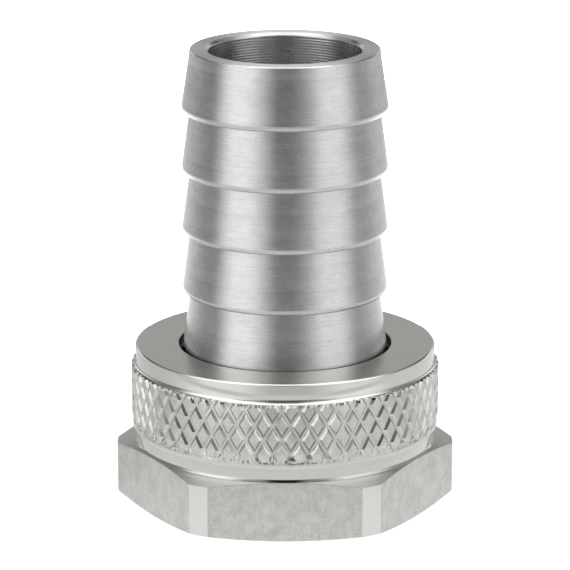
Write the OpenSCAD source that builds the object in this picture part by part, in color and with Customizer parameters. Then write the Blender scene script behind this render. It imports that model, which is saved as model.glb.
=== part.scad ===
// Hose shank with a swivelling garden hose thread nut.
// A barbed stainless steel shank, a loose hexagon nut with a knurled collar and an internal
// hose thread, and the flat rubber washer between them.
// Millimetres. +Z runs up the common axis; the origin is the centre of the nut's open mouth.

/* [Nut hexagon] */
// Hexagon, across its flats
hex_across_flats = 31.75; // [31.5:0.25:33]
// Diameter that trims the hexagon's six corners
hex_corner_d = 35.46; // [34.5:0.02:36]
// Height of the trimmed corners
hex_corner_h = 5.78; // [4:0.02:5.9]
// Slope of the hexagon's conical top, in degrees
hex_top_slope = 16; // [5:1:18]
// Diameter of the flat face round the mouth
mouth_face_d = 31.5; // [29:0.1:31.7]
// Slope of the chamfer under the hexagon, outside the flat face, in degrees
hex_bottom_slope = 14; // [5:1:20]

/* [Nut collar] */
// Height of the whole nut
nut_h = 16.7; // [16.3:0.1:18]
// Thickness of the nut's top wall, which the shank's flange pulls against
nut_wall_t = 1.5; // [1.2:0.1:1.8]
// Root diameter of the groove between hexagon and collar
groove_d = 30.6; // [30:0.1:31]
// Height at which the collar's lower plain band starts
low_band_z = 6.5; // [6.5:0.02:7.2]
// Diameter of the lower plain band
low_band_d = 31.56; // [31.2:0.02:31.7]
// Height at which the knurl starts
knurl_z = 7.8; // [7.4:0.1:8.6]
// Width of the knurl
knurl_w = 7.12; // [6:0.04:7.4]
// Diameter over the knurl's crests
knurl_d = 32.3; // [32:0.05:32.6]
// Diameter of the upper plain band
top_band_d = 31.36; // [31:0.02:31.6]
// Edge break around the top of the collar
top_edge = 0.2; // [0.1:0.05:0.4]
// Hole in the top wall, wide enough for the barbs to pass
nut_hole_d = 22.3; // [21.8:0.1:23]

/* [Hose thread] */
// Threads per inch
thread_tpi = 11.5; // [11:0.5:12]
// Minor diameter, over the crests of the internal thread
thread_minor_d = 24.6; // [24.5:0.05:24.8]
// Major diameter, at the roots of the internal thread
thread_major_d = 27.3; // [27:0.1:27.6]
// Diameter of the countersink at the mouth
mouth_d = 27.8; // [27.6:0.1:28.4]
// Diameter of the recess that holds the washer and the flange
recess_d = 27.5; // [27.3:0.1:28.3]

/* [Washer] */
// Outer diameter of the washer
washer_od = 25.4; // [25:0.1:27]
// Diameter of the washer's hole
washer_id = 16.4; // [16.3:0.1:18]
// Thickness of the washer
washer_t = 3.175; // [2.4:0.025:3.4]

/* [Hose shank] */
// Bore of the waterway
bore_d = 15.88; // [14:0.02:15.88]
// Height of the shank's tip above the nut's mouth
tip_z = 48.1; // [46:0.1:50]
// Diameter at the tip
tip_d = 19.7; // [19:0.1:20.4]
// Edge break around the tip
tip_edge = 0.12; // [0.08:0.02:0.2]
// Countersink at the end of the bore
bore_edge = 0.3; // [0.1:0.05:0.4]
// Diameter over the crests of the barbs
crest_d = 21.4; // [21:0.05:21.7]
// Diameter at the roots of the barbs
root_d = 19.86; // [19.4:0.02:20.2]
// Height of the highest crest
crest_z = 42.13; // [41.6:0.01:42.7]
// Distance from one crest to the next
barb_pitch = 6.4; // [6:0.05:6.6]
// Number of barbs with a land and a back above the nut
barb_count = 4; // [1:1:4]
// Width of the flat land on each crest
crest_land = 0.3; // [0.2:0.05:0.5]
// Height of the sloping back under each crest
barb_back = 0.6; // [0.5:0.05:0.9]
// Neck that turns in the nut's hole
neck_d = 20.8; // [20.4:0.1:21]
// Diameter of the flange that the nut catches
flange_d = 24.2; // [23.2:0.1:24.4]
// Thickness of the flange
flange_t = 1.5; // [1:0.1:1.6]
// Free end play of the shank in the nut
end_play = 0.5; // [0.2:0.05:0.8]

/* [Hidden] */
$fn = 96;

steel = [0.77, 0.77, 0.76];
black_rubber = [0.07, 0.07, 0.075];
past = 1; // how far a cutting shape runs past the surface that it cuts

hex_flat_r = hex_across_flats / 2;
hex_corner_r = hex_corner_d / 2;
knurl_end_z = knurl_z + knurl_w;
shoulder_z = nut_h - nut_wall_t;

thread_pitch = 25.4 / thread_tpi;
thread_h = (thread_major_d - thread_minor_d) / 2;
thread_root_w = thread_pitch / 8;
thread_open_w = thread_root_w + 2 * thread_h * tan(30);
thread_ledge = 0.5; // land between the last groove and the recess

seat_z = shoulder_z - end_play - flange_t; // underside of the shank's flange
washer_gap = 0.025; // keeps the washer's face off the flange
thread_depth = seat_z - washer_gap - washer_t; // the washer lies on the end of the thread
thread_grooves = floor((thread_depth - thread_ledge) / thread_pitch);

function hex_top_z(r) = hex_corner_h + (hex_corner_r - r) * tan(hex_top_slope);
function crest_height(i) = crest_z - i * barb_pitch;
function groove_centre(i) = thread_depth - thread_ledge - thread_open_w / 2 - i * thread_pitch;

// Half section of the trimmed hexagon's envelope: radius, height
hex_envelope = [
    [0, 0],
    [mouth_face_d / 2, 0],
    [hex_corner_r, (hex_corner_r - mouth_face_d / 2) * tan(hex_bottom_slope)],
    [hex_corner_r, hex_corner_h],
    [groove_d / 2, hex_top_z(groove_d / 2)],
    [0, hex_top_z(groove_d / 2)]
];

// Half section of the collar above the hexagon
collar_section = [
    [0, hex_corner_h / 2],
    [groove_d / 2, hex_corner_h / 2],
    [groove_d / 2, low_band_z],
    [low_band_d / 2, low_band_z],
    [low_band_d / 2, knurl_z],
    [knurl_d / 2, knurl_z],
    [knurl_d / 2, knurl_end_z],
    [top_band_d / 2, knurl_end_z],
    [top_band_d / 2, nut_h - top_edge],
    [top_band_d / 2 - top_edge, nut_h],
    [0, nut_h]
];

// Half section of the nut's inside without the thread's grooves: countersink, minor
// diameter, recess, shoulder and the hole in the top wall
nut_inside = [
    [0, -past],
    [mouth_d / 2 + past, -past],
    [thread_minor_d / 2, (mouth_d - thread_minor_d) / 2],
    [thread_minor_d / 2, thread_depth],
    [recess_d / 2, thread_depth],
    [recess_d / 2, shoulder_z],
    [nut_hole_d / 2, shoulder_z],
    [nut_hole_d / 2, nut_h - top_edge],
    [nut_hole_d / 2 + top_edge + past, nut_h + past],
    [0, nut_h + past]
];

// Half section of one thread groove, centred on height 0
groove_section = [
    [thread_minor_d / 2 - past, -thread_open_w / 2 - past * tan(30)],
    [thread_major_d / 2, -thread_root_w / 2],
    [thread_major_d / 2, thread_root_w / 2],
    [thread_minor_d / 2 - past, thread_open_w / 2 + past * tan(30)]
];

// Outline of the barbs from the tip down: each has a flat land and a sloping back
barb_outline = [
    for (i = [0 : barb_count - 1], p = [
        [crest_d / 2, crest_height(i) + crest_land],
        [crest_d / 2, crest_height(i)],
        [root_d / 2, crest_height(i) - barb_back]
    ]) p
];

// Half section of the shank, from the tip's bore round to the flange
shank_section = concat(
    [
        [bore_d / 2, tip_z - bore_edge],
        [bore_d / 2 + bore_edge, tip_z],
        [tip_d / 2 - tip_edge, tip_z],
        [tip_d / 2, tip_z - tip_edge]
    ],
    barb_outline,
    [
        [crest_d / 2, crest_height(barb_count)],
        [neck_d / 2, crest_height(barb_count) - (crest_d - neck_d) / 2],
        [neck_d / 2, seat_z + flange_t],
        [flange_d / 2, seat_z + flange_t],
        [flange_d / 2, seat_z],
        [bore_d / 2, seat_z]
    ]
);

// The nut that is turned by hand or with a spanner: a trimmed hexagon below a knurled
// collar. The thread is made as rings at the true pitch, and the knurl as its crest
// cylinder.
module swivel_nut() {
    color(steel)
    difference() {
        union() {
            intersection() {
                cylinder(h = nut_h, r = hex_flat_r / cos(30), $fn = 6);
                rotate_extrude() polygon(hex_envelope);
            }
            rotate_extrude() polygon(collar_section);
        }
        rotate_extrude() polygon(nut_inside);
        for (i = [0 : thread_grooves - 1])
            translate([0, 0, groove_centre(i)]) rotate_extrude() polygon(groove_section);
    }
}

// The flat washer that seals the shank's flange against the end of a male hose fitting
module hose_washer() {
    color(black_rubber)
    translate([0, 0, thread_depth])
    difference() {
        cylinder(h = washer_t, d = washer_od);
        translate([0, 0, -past]) cylinder(h = washer_t + 2 * past, d = washer_id);
    }
}

// The tube with the flange that the nut pulls on and the barbs that a hose is pushed over
module hose_shank() {
    color(steel) rotate_extrude() polygon(shank_section);
}

swivel_nut();
hose_washer();
hose_shank();
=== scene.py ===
"""A hose shank with a swivelling garden hose thread nut, in turned and knurled stainless steel.

The three pieces are the nut, the rubber washer and the barbed shank. Each is a closed mesh
that stands for its CAD solid and adds what the solid leaves out: the diamond knurl, the
helical thread, the cove above the knurl and the broken edges. Outlines are in millimetres,
and meshes in metres.
"""
import math
import random

import bmesh
import bpy
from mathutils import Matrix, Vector, noise


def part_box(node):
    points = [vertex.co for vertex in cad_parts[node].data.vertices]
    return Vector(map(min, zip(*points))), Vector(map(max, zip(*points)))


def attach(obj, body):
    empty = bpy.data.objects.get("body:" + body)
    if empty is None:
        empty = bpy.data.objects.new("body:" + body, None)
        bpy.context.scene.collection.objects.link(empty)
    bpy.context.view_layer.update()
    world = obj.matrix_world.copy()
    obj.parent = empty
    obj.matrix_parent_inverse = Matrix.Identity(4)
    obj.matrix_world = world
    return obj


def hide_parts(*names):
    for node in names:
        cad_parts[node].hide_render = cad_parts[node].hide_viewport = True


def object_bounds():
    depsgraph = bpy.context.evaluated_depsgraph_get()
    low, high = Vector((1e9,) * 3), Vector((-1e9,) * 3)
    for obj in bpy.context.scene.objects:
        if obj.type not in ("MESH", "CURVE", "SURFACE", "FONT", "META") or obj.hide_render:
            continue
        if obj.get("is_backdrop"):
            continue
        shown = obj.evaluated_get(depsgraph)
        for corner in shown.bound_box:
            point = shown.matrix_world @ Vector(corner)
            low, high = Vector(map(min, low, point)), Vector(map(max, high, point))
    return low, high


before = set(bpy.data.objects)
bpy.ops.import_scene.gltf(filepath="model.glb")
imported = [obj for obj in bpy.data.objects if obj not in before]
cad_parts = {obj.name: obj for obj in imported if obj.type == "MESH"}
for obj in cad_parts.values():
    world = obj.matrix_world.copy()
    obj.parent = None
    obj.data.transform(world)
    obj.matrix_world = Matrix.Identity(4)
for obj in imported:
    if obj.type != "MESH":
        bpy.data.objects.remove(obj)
cad_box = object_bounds()

MM = 0.001


# ---------------------------------------------------------------- sizes from the frame

nut_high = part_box("swivel_nut")[1] / MM
washer_low, washer_high = (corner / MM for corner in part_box("hose_washer"))
shank_low, shank_high = (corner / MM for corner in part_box("hose_shank"))

# The nut
NUT_H = nut_high.z
HEX_CORNER_R = nut_high.x                 # the cylinder that trims the six corners
HEX_FLAT_R = 15.875                       # half the distance across the flats
HEX_CORNER_H = 5.78                       # height of the trimmed corners
HEX_TOP_SLOPE = math.radians(16)          # cone over the hexagon
MOUTH_FACE_R = 15.75                      # flat face round the mouth
HEX_BOTTOM_SLOPE = math.radians(14)       # chamfer under the hexagon
LOW_BAND_R = 15.74                        # plain band below the knurl
KNURL_R = nut_high.y                      # over the knurl's crests
KNURL_LOW = 7.8
TOP_BAND_R = 15.68                        # plain band above the knurl
HOLE_R = 11.15                            # hole in the top wall
SHOULDER_Z = 15.2                         # underside of the top wall
RECESS_R = 13.75                          # room for the washer and the flange

# The hose thread inside the nut
THREAD_END = washer_low.z                 # the washer lies on the end of the thread
THREAD_MINOR_R = 12.3
THREAD_MAJOR_R = 13.65
THREAD_PITCH = 25.4 / 11.5
MOUTH_R = 13.9                            # countersink at the mouth

# The shank
TIP_Z = shank_high.z
FLANGE_R = shank_high.x
SEAT_Z = shank_low.z                      # underside of the flange
FLANGE_T = 1.5
BORE_R = 7.94
TIP_R = 9.85
NECK_R = 10.4
CREST_R = 10.7
ROOT_R = 9.93
TOP_CREST_Z = 42.13                       # highest crest of the barbs
BARB_PITCH = 6.4
BARBS = 4                                 # barbs with a land and a back above the nut
CREST_LAND = 0.1
BARB_BACK = 0.6                           # height of the sloping back under a crest

WASHER_HOLE_R = 8.2


# ---------------------------------------------------------------- mesh tools

SHARP_ANGLE = math.radians(24)            # edges that turn more than this stay crisp


def make_object(name, verts, faces, slots, face_slots=None):
    """A smooth-shaded object from points in millimetres, with its sharp edges kept crisp."""
    mesh = bpy.data.meshes.new(name)
    mesh.from_pydata([Vector(v) * MM for v in verts], [], faces)
    for material in slots:
        mesh.materials.append(material)
    if face_slots:
        mesh.polygons.foreach_set("material_index", face_slots)
    mesh.polygons.foreach_set("use_smooth", [True] * len(mesh.polygons))
    mesh.set_sharp_from_angle(angle=SHARP_ANGLE)
    piece = bpy.data.objects.new(name, mesh)
    bpy.context.scene.collection.objects.link(piece)
    return piece


def rounded(corners):
    """Points of a closed outline. A corner is (radius, height, edge), and its edge is rounded off.

    An edge is the length cut from both sides, or a pair of lengths, before and after.
    A point a little outside each small curve keeps the long faces next to it shading flat."""
    small = 0.2
    margin = 1.4
    points = []
    for i, (r, z, edge) in enumerate(corners):
        corner = Vector((r, z))
        if not edge:
            points.append(corner)
            continue
        cuts = edge if isinstance(edge, tuple) else (edge, edge)
        before = Vector(corners[i - 1][:2])
        after = Vector(corners[(i + 1) % len(corners)][:2])
        start = corner + (before - corner).normalized() * cuts[0]
        end = corner + (after - corner).normalized() * cuts[1]
        steps = 8 if max(cuts) > small else 3
        if max(cuts) <= small:
            points.append(corner + (start - corner) * margin)
        for step in range(steps + 1):
            t = step / steps
            points.append(start * (1 - t) ** 2 + corner * 2 * t * (1 - t) + end * t ** 2)
        if max(cuts) <= small:
            points.append(corner + (end - corner) * margin)
    return points


def lathe(name, corners, segments, slots):
    """A closed ring turned from an outline that runs round clockwise: radius right, height up."""
    outline = rounded(corners)
    count = len(outline)
    verts = []
    faces = []
    for j in range(segments):
        turn = 2 * math.pi * j / segments
        verts += [(p.x * math.cos(turn), p.x * math.sin(turn), p.y) for p in outline]
        here = j * count
        there = (j + 1) % segments * count
        for k in range(count):
            nxt = (k + 1) % count
            faces.append((here + k, here + nxt, there + nxt, there + k))
    return make_object(name, verts, faces, slots)


# ---------------------------------------------------------------- shader tools

def add_node(tree, kind, inputs=None, **settings):
    """Adds a shader node, with its settings, and with its inputs set or linked."""
    made = tree.nodes.new("ShaderNode" + kind)
    for key, value in settings.items():
        setattr(made, key, value)
    for key, value in (inputs or {}).items():
        if isinstance(value, bpy.types.NodeSocket):
            tree.links.new(value, made.inputs[key])
        else:
            made.inputs[key].default_value = value
    return made


def calc(tree, operation, *values):
    """The result of a Math node."""
    return add_node(tree, "Math", dict(enumerate(values)), operation=operation).outputs[0]


def span(tree, value, low, high, to_low=0.0, to_high=1.0):
    """Maps low..high to to_low..to_high, smoothly and clamped."""
    made = add_node(tree, "MapRange", {0: value, 1: low, 2: high, 3: to_low, 4: to_high},
                    interpolation_type="SMOOTHSTEP")
    return made.outputs[0]


def new_material(name):
    """A material with a bare Principled shader, and its tree."""
    material = bpy.data.materials.new(name)
    material.use_nodes = True
    return material, material.node_tree, material.node_tree.nodes["Principled BSDF"]


def coordinates(tree):
    """The piece's own coordinates in millimetres, as a vector and as x, y and z."""
    place = add_node(tree, "TexCoord").outputs["Object"]
    scaled = add_node(tree, "VectorMath", {0: place, "Scale": 1 / MM}, operation="SCALE").outputs[0]
    parts = add_node(tree, "SeparateXYZ", {0: scaled}).outputs
    return scaled, parts


def from_axis(tree, x, y):
    """Distance from the object's axis."""
    squares = calc(tree, "ADD", calc(tree, "MULTIPLY", x, x), calc(tree, "MULTIPLY", y, y))
    return calc(tree, "SQRT", squares)


def grain(tree, vector, scale, detail=2.0, roughness=0.5):
    """Noise from 0 to 1, `scale` features per millimetre."""
    made = add_node(tree, "TexNoise", {"Vector": vector, "Scale": scale, "Detail": detail,
                                       "Roughness": roughness})
    return made.outputs["Fac"]


def tint(tree, value, dark, light, blue=0.955):
    """A neutral colour between two values; `blue` under 1 warms it."""
    colours = [(v, v * 1.003, v * blue, 1) for v in (dark, light)]
    made = add_node(tree, "Mix", {0: value, 6: colours[0], 7: colours[1]}, data_type="RGBA")
    return made.outputs[2]


def hairlines(tree, vector, turn):
    """Sparse fine scratches, 0 to 1, that run at an angle to the part's axis."""
    turned = add_node(tree, "Mapping", {"Vector": vector, "Rotation": (turn, turn, 0.4),
                                        "Scale": (7.0, 7.0, 0.35)}).outputs[0]
    return span(tree, grain(tree, turned, 1.0, 1.0), 0.6, 0.72)


def turned_steel(name, dark=0.48, light=0.60, rough=0.27, lay=0.8, feed=0.0, line_height=0.0012,
                 blue=0.99):
    """Steel as a lathe leaves it: fine circular lines that smear a reflection across the lay.

    `lay` is how strongly they smear it. A feed, in millimetres, adds the coarser lines of a
    boring bar. Line heights are in millimetres."""
    material, tree, shader = new_material(name)
    vector, (x, y, z) = coordinates(tree)
    along = calc(tree, "MULTIPLY_ADD", from_axis(tree, x, y), 0.9, z)

    def circles(slow):
        """Coordinates whose noise runs round the axis, and changes only as fast as `slow` lets it."""
        return add_node(tree, "CombineXYZ", {0: calc(tree, "MULTIPLY", x, slow),
                                             1: calc(tree, "MULTIPLY", y, slow), 2: along}).outputs[0]

    rings = grain(tree, circles(0.002), 6.0, 3.0, 0.6)
    streaks = grain(tree, circles(0.09), 9.0, 2.0, 0.6)
    bands = grain(tree, circles(0.004), 0.9)
    clouds = grain(tree, vector, 0.5, 4.0, 0.65)
    lines = calc(tree, "MULTIPLY_ADD", rings, 0.45, calc(tree, "MULTIPLY", streaks, 0.55))
    patchy = calc(tree, "MULTIPLY_ADD", bands, 0.15, calc(tree, "MULTIPLY", clouds, 0.25))
    shade = calc(tree, "MULTIPLY_ADD", lines, 0.6, patchy)
    tone = tint(tree, span(tree, shade, 0.35, 0.65), dark, light, blue)
    tree.links.new(tone, shader.inputs["Base Color"])
    uneven = calc(tree, "MULTIPLY_ADD", bands, 0.6, calc(tree, "MULTIPLY", clouds, 0.4))
    tree.links.new(span(tree, uneven, 0.3, 0.7, rough * 0.9, rough * 1.1), shader.inputs["Roughness"])
    height = lines
    if feed:
        wave = calc(tree, "SINE", calc(tree, "MULTIPLY", along, math.pi / feed))
        ridge_height = -14.0              # against the fine lines
        height = calc(tree, "MULTIPLY_ADD", calc(tree, "ABSOLUTE", wave), ridge_height, lines)
    bump = add_node(tree, "Bump", {"Height": height, "Strength": 1.0, "Distance": line_height * MM})
    tree.links.new(bump.outputs[0], shader.inputs["Normal"])
    tangent = add_node(tree, "Tangent", direction_type="RADIAL", axis="Z")
    tree.links.new(tangent.outputs[0], shader.inputs["Tangent"])
    shader.inputs["Metallic"].default_value = 1.0
    shader.inputs["Anisotropic"].default_value = lay
    shader.inputs["Anisotropic Rotation"].default_value = 0.25
    return material


def milled_steel(name, dark=0.43, light=0.55, rough=0.34, pits=0.0022, scratches=0.8):
    """Steel as bright bar comes: a faint mottle, fine pits and crossing hairline scratches.

    `pits` is their depth in millimetres."""
    material, tree, shader = new_material(name)
    vector, _ = coordinates(tree)
    clouds = grain(tree, vector, 0.7, 5.0, 0.7)
    speckle = grain(tree, vector, 5.5, 3.0, 0.65)
    scratch = calc(tree, "MAXIMUM", hairlines(tree, vector, 0.5), hairlines(tree, vector, -0.8))
    shade = calc(tree, "MULTIPLY_ADD", clouds, 0.5, calc(tree, "MULTIPLY", speckle, 0.5))
    shade = calc(tree, "MULTIPLY_ADD", scratch, 0.1 * scratches, shade)
    tree.links.new(tint(tree, span(tree, shade, 0.36, 0.64), dark, light), shader.inputs["Base Color"])
    tree.links.new(span(tree, clouds, 0.3, 0.7, rough + 0.05, rough - 0.04), shader.inputs["Roughness"])
    fine = calc(tree, "MULTIPLY_ADD", scratch, -scratches, speckle)
    ripple = calc(tree, "MULTIPLY_ADD", clouds, 2.0, fine)
    bump = add_node(tree, "Bump", {"Height": ripple, "Strength": 1.0, "Distance": pits * MM})
    tree.links.new(bump.outputs[0], shader.inputs["Normal"])
    shader.inputs["Metallic"].default_value = 1.0
    return material


def washer_rubber(name):
    """Black rubber with a fine matt grain and a little grey bloom."""
    material, tree, shader = new_material(name)
    vector, _ = coordinates(tree)
    bloom = grain(tree, vector, 0.4, 4.0, 0.6)
    grit = grain(tree, vector, 9.0, 2.0)
    tree.links.new(tint(tree, span(tree, bloom, 0.3, 0.7), 0.016, 0.03), shader.inputs["Base Color"])
    tree.links.new(span(tree, bloom, 0.3, 0.7, 0.5, 0.68), shader.inputs["Roughness"])
    bump = add_node(tree, "Bump", {"Height": grit, "Strength": 1.0, "Distance": 0.004 * MM})
    tree.links.new(bump.outputs[0], shader.inputs["Normal"])
    return material


# ---------------------------------------------------------------- washer and shank

def make_washer():
    """The flat rubber washer."""
    outer, soft = washer_high.x, 0.15
    corners = [
        (WASHER_HOLE_R, washer_low.z, soft),
        (WASHER_HOLE_R, washer_high.z, soft),
        (outer, washer_high.z, soft),
        (outer, washer_low.z, soft),
    ]
    return lathe("hose_washer_ring", corners, 144, [washer_rubber("washer_rubber")])


def make_shank():
    """The flanged tube with its barbs, turned from one outline."""
    crisp = 0.03
    bore_edge = 0.3
    tip_edge = 0.12
    sleeve = 1.25                         # the tip was dressed this far down, at its own taper
    sleeve_step = 0.14                    # and widens by this much on the way
    overhang = CREST_R - ROOT_R - 0.01    # a back is one curve from the land almost to the root
    corners = [
        (BORE_R, SEAT_Z, 0.15),
        (BORE_R, TIP_Z - bore_edge, crisp),
        (BORE_R + bore_edge, TIP_Z, crisp),
        (TIP_R - tip_edge, TIP_Z, crisp),
        (TIP_R, TIP_Z - tip_edge, crisp),
        (TIP_R + sleeve_step, TIP_Z - sleeve, crisp),
    ]
    for i in range(BARBS):
        crest_z = TOP_CREST_Z - i * BARB_PITCH
        corners += [
            (CREST_R, crest_z + CREST_LAND, crisp),
            (CREST_R, crest_z - BARB_BACK, (BARB_BACK, overhang)),
            (ROOT_R, crest_z - BARB_BACK, 0),
        ]
    foot_z = TOP_CREST_Z - BARBS * BARB_PITCH
    corners += [
        (CREST_R, foot_z, crisp),
        (NECK_R, foot_z - (CREST_R - NECK_R), crisp),
        (NECK_R, SEAT_Z + FLANGE_T, 0.1),
        (FLANGE_R, SEAT_Z + FLANGE_T, 0.12),
        (FLANGE_R, SEAT_Z, 0.12),
    ]
    slots = [
        turned_steel("turned_shank_steel"),
        turned_steel("bored_steel", feed=0.29),
        turned_steel("faced_steel", dark=0.57, light=0.63, rough=0.39, lay=0.86, line_height=0.0005),
    ]
    bored, faced = 1, 2
    near = 0.02
    shank = lathe("barbed_shank", corners, 288, slots)
    for face in shank.data.polygons:
        x, y, z = face.center / MM
        if math.hypot(x, y) < BORE_R + near and z < TIP_Z - bore_edge:
            face.material_index = bored
        elif z > TIP_Z - near:
            face.material_index = faced
    return shank


# ---------------------------------------------------------------- swivel nut

TURNED, MILLED, KNURLED, STRIP, BAND = range(5)  # the nut's material slots

COARSE = 378                              # columns of the plain turned and hexagonal faces
FINE = 2 * COARSE                         # columns of the knurl
SIDE_COLUMNS = COARSE // 6                # columns of one side of the hexagon
STRIP_COLUMNS = 4                         # from a corner of the hexagon to the edge of its strip

KNURL_STARTS = 54                         # grooves of one family
CELLS = FINE // KNURL_STARTS              # columns, and rows, in one diamond
KNURL_CELL_H = 3.07 / CELLS               # a diamond is 3.07 high
KNURL_ROWS = 28
KNURL_TOP_Z = 14.36                       # top row of the lattice, just below the cove
KNURL_FLOOR_Z = KNURL_TOP_Z - KNURL_ROWS * KNURL_CELL_H
KNURL_DEPTH = 0.225
CREST_HALF, WALL = 4, 2                   # half a crest's width, and a groove wall's, in columns
RISING_PHASE, FALLING_PHASE = 12, 8       # where the two families of grooves start
GROOVES_FADE = (8.5, 9.4)                 # heights between which the grooves reach their depth
CRESTS_FADE = (8.3, 9.5)                  # and the crests their radius
RAGGED_LOW = (8.25, 8.6)                  # heights at which the torn metal below them begins
COVE_R = 0.475                            # a cove joins the top of the knurl to the upper band
COVE_Z = 15.06                            # where it runs into the band


def hex_top(r):
    """Height of the cone over the hexagon."""
    return HEX_CORNER_H + (HEX_CORNER_R - r) * math.tan(HEX_TOP_SLOPE)


def hex_bottom(r):
    """Height of the chamfer under the hexagon."""
    return max(0.0, (r - MOUTH_FACE_R) * math.tan(HEX_BOTTOM_SLOPE))


def hex_column(j):
    """Angle and radius of column j of the hexagon's sides. The corner strips' edges have columns."""
    strip_angle = math.radians(30) - math.acos(HEX_FLAT_R / HEX_CORNER_R)
    corner = round(j / SIDE_COLUMNS)
    offset = j - corner * SIDE_COLUMNS
    steps = abs(offset)
    if steps <= STRIP_COLUMNS:
        away = steps / STRIP_COLUMNS * strip_angle
        r = HEX_CORNER_R
    else:
        share = (steps - STRIP_COLUMNS) / (SIDE_COLUMNS / 2 - STRIP_COLUMNS)
        away = strip_angle + share * (math.radians(30) - strip_angle)
        r = HEX_FLAT_R / math.cos(math.radians(30) - away)
    return math.radians(60) * corner + math.copysign(away, offset), r


def side_slots():
    """Material of each column of the hexagon's sides: bright corner strips between milled flats."""
    slots = []
    for j in range(COARSE):
        offset = (j + SIDE_COLUMNS // 2) % SIDE_COLUMNS - SIDE_COLUMNS // 2
        slots.append(STRIP if -STRIP_COLUMNS <= offset < STRIP_COLUMNS else MILLED)
    return slots


class Skin:
    """Points and faces of the nut, built up ring by ring."""

    def __init__(self):
        self.verts = []
        self.faces = []
        self.slots = []

    def ring(self, points):
        """Adds a ring of (angle, radius, height), and returns its vertex numbers."""
        first = len(self.verts)
        self.verts += [(r * math.cos(a), r * math.sin(a), z) for a, r, z in points]
        return list(range(first, len(self.verts)))

    def face(self, corners, slot):
        """Adds one face."""
        self.faces.append(corners)
        self.slots.append(slot)

    def join(self, lower, upper, slot):
        """Joins two rings that have as many points, or one of which has twice as many.

        The slot is one number, or a list with a number for each column."""
        few, many = sorted((lower, upper), key=len)
        n = len(few)
        for j in range(n):
            k = (j + 1) % n
            if len(many) == n:
                own = slot[j] if isinstance(slot, list) else slot
                self.face((lower[j], lower[k], upper[k], upper[j]), own)
                continue
            a, b, c = many[2 * j], many[2 * j + 1], many[(2 * j + 2) % len(many)]
            for triangle in ((few[j], b, a), (few[j], few[k], b), (few[k], c, b)):
                self.face(triangle if few is lower else triangle[::-1], slot)


def groove_cut(position):
    """Depth of one family of grooves, from 0 on a crest to 1 on a groove's flat floor."""
    from_crest = abs(position % CELLS - CELLS / 2)
    return min(max((from_crest - CREST_HALF) / WALL, 0.0), 1.0)


def ease(value, low, high):
    """0 below low, 1 above high, and smooth between."""
    t = min(max((value - low) / (high - low), 0.0), 1.0)
    return t * t * (3 - 2 * t)


def cove(height):
    """Radius of the cove above the knurl."""
    drop = min(max(COVE_Z - height, 0.0), COVE_R)
    return TOP_BAND_R + COVE_R - math.sqrt(COVE_R ** 2 - drop ** 2)


def knurl_radius(rising, falling, angle, height, leans):
    """Radius of the knurl at a place in its two families of grooves.

    Each diamond leans a little its own way, the grooves are worn unevenly, and the wheels
    left lumps where they lifted off at the lower end."""
    spot = Vector((KNURL_R * math.cos(angle), KNURL_R * math.sin(angle), height))
    wear = noise.noise(spot * 0.9)
    full = max(groove_cut(rising), groove_cut(falling))
    lifted = ease(height, *GROOVES_FADE)
    ragged = (1 - lifted) * ease(height, *RAGGED_LOW)
    lumps = 0.4 + 0.9 * noise.noise(spot * 3.2) + 0.3 * noise.noise(spot * 6.5)
    cut = full * lifted
    lean_u, lean_v = leans[int(rising // CELLS) % len(leans)][int(falling // CELLS) % len(leans)]
    tilt = lean_u * (rising % CELLS - CELLS / 2) + lean_v * (falling % CELLS - CELLS / 2)
    shallow = 0.1 * (1 - ease(height, *CRESTS_FADE)) + 0.12 * ragged * max(0.0, lumps)
    r = KNURL_R - shallow - KNURL_DEPTH * cut * (1 + 0.15 * wear) - (1 - cut) * (0.008 + tilt)
    return min(r, cove(height))


def add_knurl(skin, below):
    """The diamond knurl, from the ring below it. Returns its top ring."""
    draw = random.Random(5)
    most = 0.0017                         # a diamond's lean, in millimetres for each column
    kinds = range(23)                     # the leans repeat after 23 diamonds
    leans = [[(draw.uniform(-most, most), draw.uniform(-most, most)) for _ in kinds] for _ in kinds]

    def ring(row, shift=0.0):
        """A ring at a row of the lattice, or with a shift of a half through the middles of its cells."""
        points = []
        for column in range(FINE):
            i = column + shift
            angle = 2 * math.pi * (i + 0.5) / FINE
            height = KNURL_FLOOR_Z + row * KNURL_CELL_H
            r = knurl_radius(i + row + RISING_PHASE, i - row + FALLING_PHASE, angle, height, leans)
            points.append((angle, r, height))
        return skin.ring(points)

    rings = [ring(k) for k in range(KNURL_ROWS + 1)]
    skin.join(below, rings[0], TURNED)
    for k, (lower, upper) in enumerate(zip(rings, rings[1:])):
        centres = ring(k + 0.5, 0.5)
        for i in range(FINE):
            n = (i + 1) % FINE
            corners = (lower[i], lower[n], upper[n], upper[i])
            for c in range(4):
                skin.face((corners[c], corners[(c + 1) % 4], centres[i]), KNURLED)
    cove_rows = 11
    top = rings[-1]
    for step in range(cove_rows + 1):
        turn = math.pi / 2 * (1 - step / cove_rows)
        height = COVE_Z - COVE_R * math.sin(turn)
        above = ring((height - KNURL_FLOOR_Z) / KNURL_CELL_H)
        skin.join(top, above, BAND)
        top = above
    return top


def thread_radius(turn_fraction, z):
    """Radius of the helical thread, opened out by the countersink at the mouth."""
    place = (z / THREAD_PITCH - turn_fraction) % 1.0
    from_crest = min(place, 1.0 - place)
    crest_half, root_half = 0.0846, 0.0625  # half the widths of crest and root, in pitches
    rise = (from_crest - crest_half) / (0.5 - root_half - crest_half)
    r = THREAD_MINOR_R + (THREAD_MAJOR_R - THREAD_MINOR_R) * min(max(rise, 0.0), 1.0)
    return max(r, MOUTH_R - z)


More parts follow.
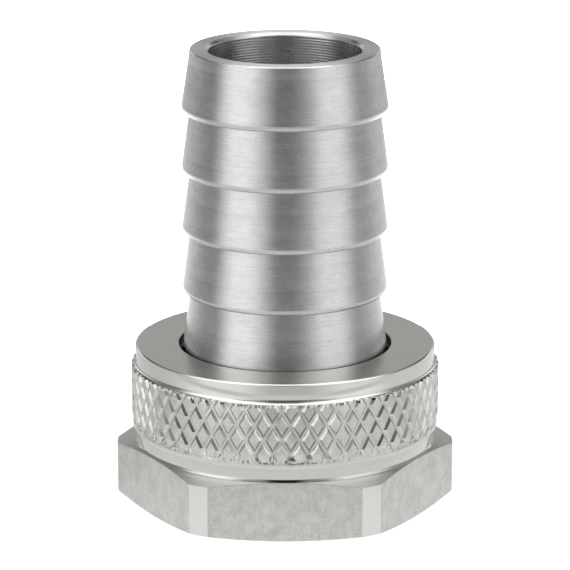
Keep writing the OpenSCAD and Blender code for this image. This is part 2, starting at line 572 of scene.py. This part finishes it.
def add_thread(nut, segments=252, rows=16):
    """Adds the thread to the nut's open mesh, and closes the mouth's face and the thread's end."""
    touching = 1e-7                       # metres
    mesh = bmesh.new()
    turns = math.ceil(THREAD_END / THREAD_PITCH) + 2
    grid = []
    for j in range(segments):
        part = j / segments
        angle = 2 * math.pi * part
        column = []
        for k in range(turns * rows + 1):
            z = THREAD_PITCH * (k / rows - 1 + part)
            r = thread_radius(part, z)
            column.append(mesh.verts.new((r * math.cos(angle) * MM, r * math.sin(angle) * MM, z * MM)))
        grid.append(column)
    for j in range(segments):
        shift = rows if j == segments - 1 else 0
        here, there = grid[j], grid[(j + 1) % segments]
        for k in range(turns * rows - shift):
            mesh.faces.new((here[k], here[k + 1], there[k + 1 + shift], there[k + shift]))
    for height, way in ((0.0, -1), (THREAD_END, 1)):
        geometry = mesh.verts[:] + mesh.edges[:] + mesh.faces[:]
        bmesh.ops.bisect_plane(mesh, geom=geometry, dist=touching, plane_co=(0, 0, height * MM),
                               plane_no=(0, 0, way), clear_outer=True)
    mesh.from_mesh(nut.data)
    for height in (0.0, THREAD_END):
        rim = [e for e in mesh.edges if e.is_boundary
               and all(abs(v.co.z - height * MM) < touching for v in e.verts)]
        bmesh.ops.triangle_fill(mesh, edges=rim, use_beauty=True)
    bmesh.ops.recalc_face_normals(mesh, faces=mesh.faces[:])
    for face in mesh.faces:
        face.smooth = True
    mesh.to_mesh(nut.data)
    mesh.free()
    nut.data.set_sharp_from_angle(angle=SHARP_ANGLE)


def make_nut():
    """The nut's outside and inside as one closed mesh."""
    skin = Skin()
    hexagon = [hex_column(j) for j in range(COARSE)]
    plain = [2 * math.pi * j / COARSE for j in range(COARSE)]

    def hex_ring(inset, rise, end):
        """A ring that follows the hexagon, a little inside it and above one of its conical ends."""
        return skin.ring([(a, r - inset, end(r - inset) + rise) for a, r in hexagon])

    def round_rings(*places):
        """Round rings, each at a radius and a height."""
        return [skin.ring([(a, r, z) for a in plain]) for r, z in places]

    def run(rings, slot):
        """Joins rings in turn."""
        for lower, upper in zip(rings, rings[1:]):
            skin.join(lower, upper, slot)

    # Rings set close together round off an edge, or keep the faces beside it shading flat.
    edge = 0.06
    crisp = 0.02
    foot = round_rings((MOUTH_FACE_R - 0.05, 0), (MOUTH_FACE_R, 0.004))
    foot.append(hex_ring(edge, 0, hex_bottom))
    sides = [foot[-1], hex_ring(edge * 0.2, edge * 0.2, hex_bottom), hex_ring(0, edge, hex_bottom),
             hex_ring(0, edge * 2, hex_bottom), hex_ring(0, -crisp * 3, hex_top),
             hex_ring(0, -crisp, hex_top), hex_ring(crisp * 0.25, -crisp * 0.12, hex_top)]
    run(foot, TURNED)
    run(sides, side_slots())

    flare_r = 15.835                      # the low band flares out to meet the hexagon's cone
    flare_z = 6.6
    cone = [sides[-1], hex_ring(crisp, 0, hex_top), hex_ring(crisp * 1.5, 0, hex_top)]
    cone += round_rings((flare_r, hex_top(flare_r)))
    run(cone, TURNED)
    collar = [cone[-1]] + round_rings(
        (flare_r - 0.007, hex_top(flare_r) + 0.02),
        (LOW_BAND_R + 0.007, flare_z - 0.02),
        (LOW_BAND_R, flare_z + 0.02),
        (LOW_BAND_R, flare_z + 0.08),
        (LOW_BAND_R, KNURL_LOW - 0.08),
        (LOW_BAND_R, KNURL_LOW - 0.02),
        (LOW_BAND_R + 0.04, KNURL_LOW),
        (KNURL_R - 0.17, KNURL_LOW + 0.03),
        (KNURL_R - 0.15, KNURL_LOW + 0.07),
    )
    run(collar, BAND)
    knurl_top = add_knurl(skin, collar[-1])
    top_edge = 0.13
    band = round_rings(
        (TOP_BAND_R, COVE_Z + 0.04),
        (TOP_BAND_R, COVE_Z + 0.1),
        (TOP_BAND_R, NUT_H - top_edge - 0.06),
        (TOP_BAND_R, NUT_H - top_edge - 0.02),
        (TOP_BAND_R - 0.02, NUT_H - top_edge + 0.02),
        (TOP_BAND_R - top_edge + 0.02, NUT_H - 0.02),
        (TOP_BAND_R - top_edge - 0.02, NUT_H),
    )
    cap = [band[-1]] + round_rings(
        (TOP_BAND_R - top_edge - 0.08, NUT_H),
        (HOLE_R + 0.2, NUT_H),
        (HOLE_R + 0.15, NUT_H),
        (HOLE_R + 0.04, NUT_H - 0.04),
        (HOLE_R, NUT_H - 0.15),
        (HOLE_R, SHOULDER_Z + 0.1),
        (HOLE_R + 0.03, SHOULDER_Z + 0.03),
        (HOLE_R + 0.1, SHOULDER_Z),
        (RECESS_R - 0.1, SHOULDER_Z),
        (RECESS_R, SHOULDER_Z - 0.1),
        (RECESS_R, THREAD_END),
    )
    skin.join(knurl_top, band[0], BAND)
    run(band, BAND)
    run(cap, TURNED)
    slots = [
        turned_steel("turned_nut_steel", dark=0.54, light=0.58, rough=0.3, lay=0.5,
                     line_height=0.0003, blue=0.955),
        milled_steel("hexagon_steel"),
        milled_steel("knurled_steel", dark=0.46, light=0.57, rough=0.24, pits=0.0014, scratches=0.2),
        turned_steel("corner_strip_steel", dark=0.61, light=0.63, rough=0.25, lay=0.4,
                     line_height=0.0002, blue=0.955),
        turned_steel("polished_band_steel", dark=0.54, light=0.58, rough=0.035, lay=0.0,
                     line_height=0.00002, blue=0.955),
    ]
    nut = make_object("knurled_swivel_nut", skin.verts, skin.faces, slots, skin.slots)
    add_thread(nut)
    return nut


# ---------------------------------------------------------------- stage, light and camera

def studio_azimuth(tree, x, y):
    """Degrees round the studio: 0 in front of the object and +90 on the right."""
    return calc(tree, "DEGREES", calc(tree, "ARCTAN2", x, calc(tree, "MULTIPLY", y, -1.0)))


def around(tree, azimuth, centre, half_width, soft):
    """1 within a soft-edged sector of the studio, and 0 outside."""
    away = calc(tree, "WRAP", calc(tree, "SUBTRACT", azimuth, centre), 180.0, -180.0)
    return span(tree, calc(tree, "ABSOLUTE", away), half_width - soft, half_width + soft, 1.0, 0.0)


def make_floor():
    """A small round white table under the object, lit from within: it glows, though it is no lamp, and
    its glow holds painted light and shade. The studio round it is white too.

    It is pure white to the camera, and see-through from below."""
    floor_r = 65.5
    gap = 0.03                            # keeps it clear of the nut's flat mouth face
    camera_white = 1.1
    bpy.ops.mesh.primitive_circle_add(vertices=160, radius=floor_r * MM, fill_type="NGON")
    floor = bpy.context.object
    floor.name = "floor"
    floor.location.z = -gap * MM
    material, tree, shader = new_material("white_floor")
    _, (x, y, _) = coordinates(tree)
    azimuth = studio_azimuth(tree, x, y)
    radius = from_axis(tree, x, y)
    # Painted light and shade in the glow: brighter near the middle (plain is not even), brighter far out
    # in sectors front left and front right (sheen), a painted dark ring at the edge of those sectors
    # (rim), and painted shade in a sector behind on the left (shade).
    left = around(tree, azimuth, -45.0, 22.0, 16.0)
    sides = calc(tree, "ADD", left, around(tree, azimuth, 45.0, 22.0, 16.0))
    painted_sheen = calc(tree, "MULTIPLY", sides, span(tree, radius, 54.0, 61.0))
    rim = calc(tree, "MULTIPLY", sides, span(tree, radius, 63.6, 64.2, 0.0, -0.55))
    shade = calc(tree, "MULTIPLY_ADD", around(tree, azimuth, -125.0, 38.0, 20.0), -0.16, rim)
    plain = calc(tree, "ADD", span(tree, radius, 28.0, 38.0, 1.07, 0.93), shade)
    glow = calc(tree, "MULTIPLY_ADD", painted_sheen, 0.4, plain)
    to_camera = add_node(tree, "LightPath").outputs["Is Camera Ray"]
    shown = calc(tree, "MAXIMUM", glow, calc(tree, "MULTIPLY", to_camera, camera_white))
    shader.inputs["Base Color"].default_value = (0.02, 0.02, 0.02, 1)
    shader.inputs["Roughness"].default_value = 0.9
    shader.inputs["Specular IOR Level"].default_value = 0.0
    shader.inputs["Emission Color"].default_value = (1, 1, 1, 1)
    tree.links.new(shown, shader.inputs["Emission Strength"])
    underside = add_node(tree, "NewGeometry").outputs["Backfacing"]
    from_below = calc(tree, "MULTIPLY", to_camera, underside)
    tree.links.new(calc(tree, "SUBTRACT", 1.0, from_below), shader.inputs["Alpha"])
    floor.data.materials.append(material)
    floor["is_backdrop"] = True


def softbox(tree, azimuth, elevation, centre, half_width, low, high, strength, soft, edge=9.0):
    """Light from a soft-edged patch of the studio's walls. Its sizes are in degrees."""
    above = span(tree, elevation, low - edge, low + edge)
    below = span(tree, elevation, high - edge, high + edge, 1.0, 0.0)
    patch = calc(tree, "MULTIPLY", calc(tree, "MULTIPLY", above, below),
                 around(tree, azimuth, centre, half_width, soft))
    return calc(tree, "MULTIPLY", patch, strength)


def make_light():
    """The studio round the object: softboxes left and right, a rear wall, a ceiling and dark gaps.

    It is pure white to the camera."""
    camera_white = 3.0
    world = bpy.data.worlds.new("studio")
    bpy.context.scene.world = world
    world.use_nodes = True
    tree = world.node_tree
    tree.nodes.clear()
    direction = add_node(tree, "TexCoord").outputs["Generated"]
    x, y, z = add_node(tree, "SeparateXYZ", {0: direction}).outputs
    azimuth = studio_azimuth(tree, x, y)
    elevation = calc(tree, "DEGREES", calc(tree, "ARCSINE", z))
    patches = [
        # centre, half width, low, high, strength, softness of the sides, then of the two ends;
        # a gap in the light has a strength below 0, as the camera's own place has
        (-49, 26, -17, 12, 1.1, 16),
        (54, 24, -17, 12, 0.87, 17),
        (-60, 21, 12, 38, 1.5, 11),
        (60, 21, 12, 38, 1.2, 11),
        (-60, 38, 33, 64, 1.7, 14),
        (60, 38, 33, 64, 1.7, 14),
        (105, 35, -20, 14, 0.14, 18),
        (180, 62, -90, -11, 1.0, 30, 7),
        (180, 45, 0, 33, 0.22, 15),
        (180, 50, 42, 64, 0.7, 15),
        (-136, 20, 4, 13, 1.0, 12, 4),
        (136, 20, 4, 13, 1.0, 12, 4),
        (-151, 15, 20, 34, -0.4, 6, 4),
        (151, 15, 20, 34, -0.4, 6, 4),
        (0, 13, 6, 26, -0.28, 6, 5),
    ]
    light = calc(tree, "ADD", span(tree, elevation, 58.0, 70.0, 0.0, 1.8),
                 span(tree, elevation, -20.0, -8.0, 0.8, 0.3))
    for patch in patches:
        light = calc(tree, "ADD", light, softbox(tree, azimuth, elevation, *map(float, patch)))
    to_camera = add_node(tree, "LightPath").outputs["Is Camera Ray"]
    shown = calc(tree, "MAXIMUM", light, calc(tree, "MULTIPLY", to_camera, camera_white))
    background = add_node(tree, "Background", {"Color": (1, 1, 1, 1), "Strength": shown})
    output = add_node(tree, "OutputWorld")
    tree.links.new(background.outputs[0], output.inputs["Surface"])


def make_camera():
    """The camera, looking slightly down at a point on the object's axis."""
    elevation = math.radians(15.547)
    distance = 0.3592
    aim = Vector((0, 0, 0.0228))
    data = bpy.data.cameras.new("camera")
    data.lens = 216.57
    data.sensor_width = 36
    camera = bpy.data.objects.new("camera", data)
    camera.location = aim + Vector((0, -math.cos(elevation), math.sin(elevation))) * distance
    camera.rotation_euler = (math.radians(90) - elevation, 0, 0)
    bpy.context.scene.collection.objects.link(camera)
    bpy.context.scene.camera = camera


# ---------------------------------------------------------------- assembly

PIECES = [
    # maker, body, CAD node, finish
    (make_nut, "nut", "swivel_nut", "nut_steel"),
    (make_washer, "washer", "hose_washer", "washer_rubber"),
    (make_shank, "shank", "hose_shank", "shank_steel"),
]
for make, body, cad_node, finish in PIECES:
    piece = make()
    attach(piece, body)
    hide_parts(cad_node)

make_floor()
make_light()
make_camera()
bpy.context.scene.view_settings.view_transform = "Standard"

[[list(corner) for corner in box] for box in (cad_box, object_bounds())]
